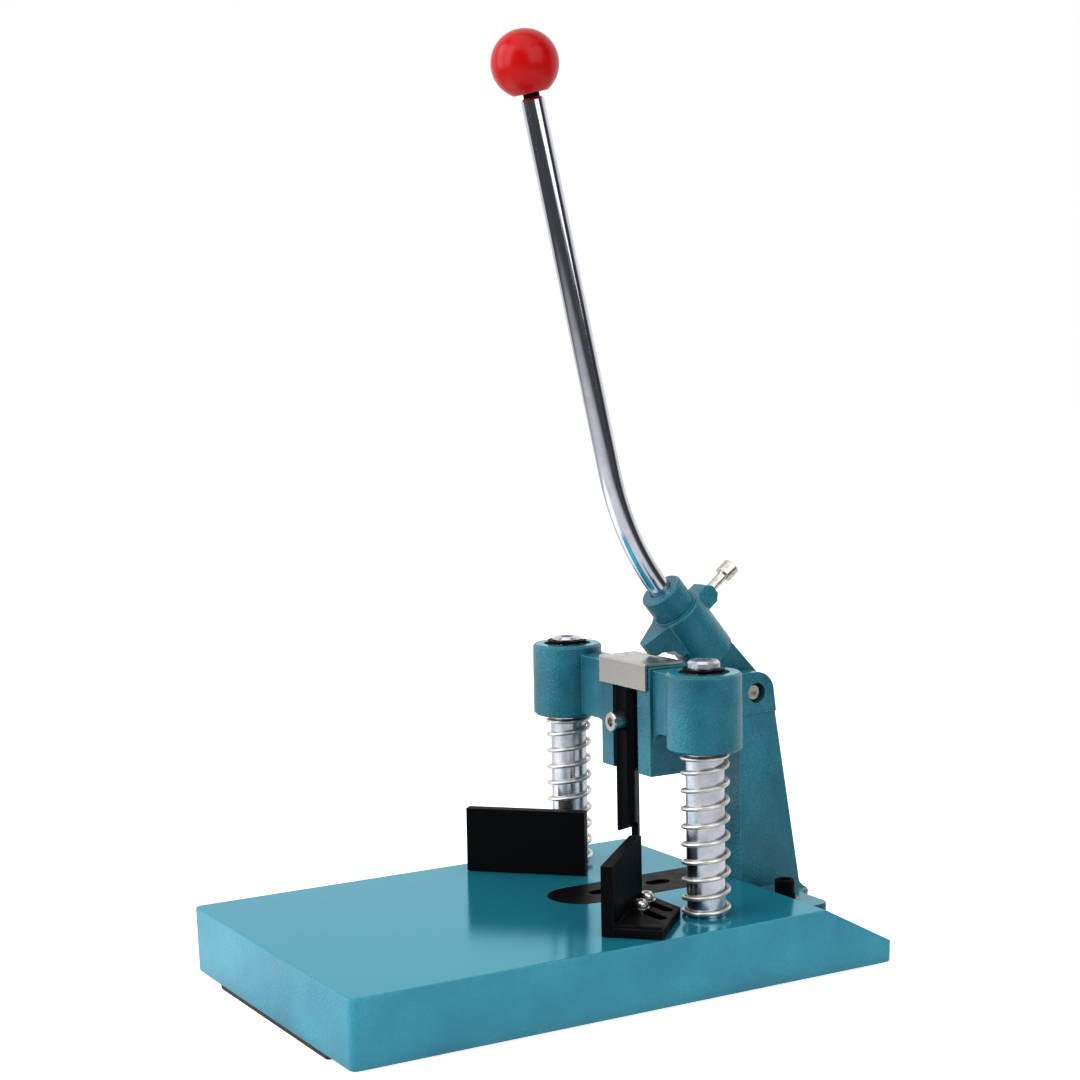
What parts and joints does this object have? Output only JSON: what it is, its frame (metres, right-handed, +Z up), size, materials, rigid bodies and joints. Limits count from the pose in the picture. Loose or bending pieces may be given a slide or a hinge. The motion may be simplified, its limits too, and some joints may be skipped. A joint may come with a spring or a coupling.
{
  "type": "corner rounder",
  "caption": "Hand-lever corner rounder for paper: cast table with side fences, sprung punch head on guide posts, column and bent lever with a ball knob.",
  "frame": {"origin": "on the standing surface, below the middle of the table", "axes": "+X to the operator's right, +Y to the rear with the column, +Z up"},
  "size_m": [0.16, 0.2595, 0.4043],
  "materials": {
    "teal_enamel": "semi-gloss hammered enamel on cast iron",
    "chrome_steel": "polished",
    "bright_steel": "satin",
    "black_steel": "black oxide",
    "bronze": "machined",
    "black_rubber": "matte",
    "red_plastic": "gloss"
  },
  "bodies": {
    "frame": {"base_plate": "teal_enamel", "column": "teal_enamel", "post_right": "chrome_steel", "post_left": "chrome_steel", "spring_right": "chrome_steel", "spring_left": "chrome_steel", "pivot_pin": "chrome_steel", "column_flat_washer_right": "bright_steel", "column_flat_washer_left": "bright_steel", "pivot_screw_right": "bright_steel", "pivot_screw_left": "bright_steel", "fence_right_screw_front": "bright_steel", "fence_right_screw_rear": "bright_steel", "fence_left_screw_front": "bright_steel", "fence_left_screw_rear": "bright_steel", "fence_right_washer_front": "bright_steel", "fence_right_washer_rear": "bright_steel", "fence_left_washer_front": "bright_steel", "fence_left_washer_rear": "bright_steel", "die_strip": "black_steel", "die_screw_front": "black_steel", "die_screw_rear": "black_steel", "column_screw_right": "black_steel", "column_screw_left": "black_steel", "column_spring_washer_right": "black_steel", "column_spring_washer_left": "black_steel", "retaining_ring_right": "black_steel", "retaining_ring_left": "black_steel", "front_foot_strip": "black_rubber", "rear_foot_strip": "black_rubber"},
    "slider": {"slider_head": "teal_enamel", "guide_bush_right": "bronze", "guide_bush_left": "bronze", "blade": "black_steel", "blade_clamp_screw": "bright_steel", "wear_plate": "bright_steel", "wear_plate_screw_right": "bright_steel", "wear_plate_screw_left": "bright_steel"},
    "lever": {"lever_head": "teal_enamel", "lever_rod": "chrome_steel", "rod_lock_screw": "bright_steel", "knob_stud": "black_steel", "ball_knob": "red_plastic"},
    "right_fence": {"fence_right": "black_steel"},
    "left_fence": {"fence_left": "black_steel"}
  },
  "joints": [
    {"name": "lever_turn", "type": "hinge", "parent": "frame", "child": "lever", "pos_m": [0, 0.1024, 0.1147], "axis": [1, 0, 0], "range_deg": [0, 45]},
    {"name": "slider_press", "type": "slide", "parent": "frame", "child": "slider", "axis": [0, 0, -1], "range_m": [0, 0.037], "stiffness_N_per_m": 800, "springref_m": -0.03, "deforming": ["spring_right", "spring_left"]},
    {"name": "right_fence_set", "type": "slide", "parent": "frame", "child": "right_fence", "axis": [-1, 0, 0], "range_m": [0, 0.016]},
    {"name": "left_fence_set", "type": "slide", "parent": "frame", "child": "left_fence", "axis": [1, 0, 0], "range_m": [0, 0.019]}
  ],
  "couplings": [
    {"joint": "slider_press", "follows": "lever_turn", "m_per_rad": 0.0471}
  ]
}
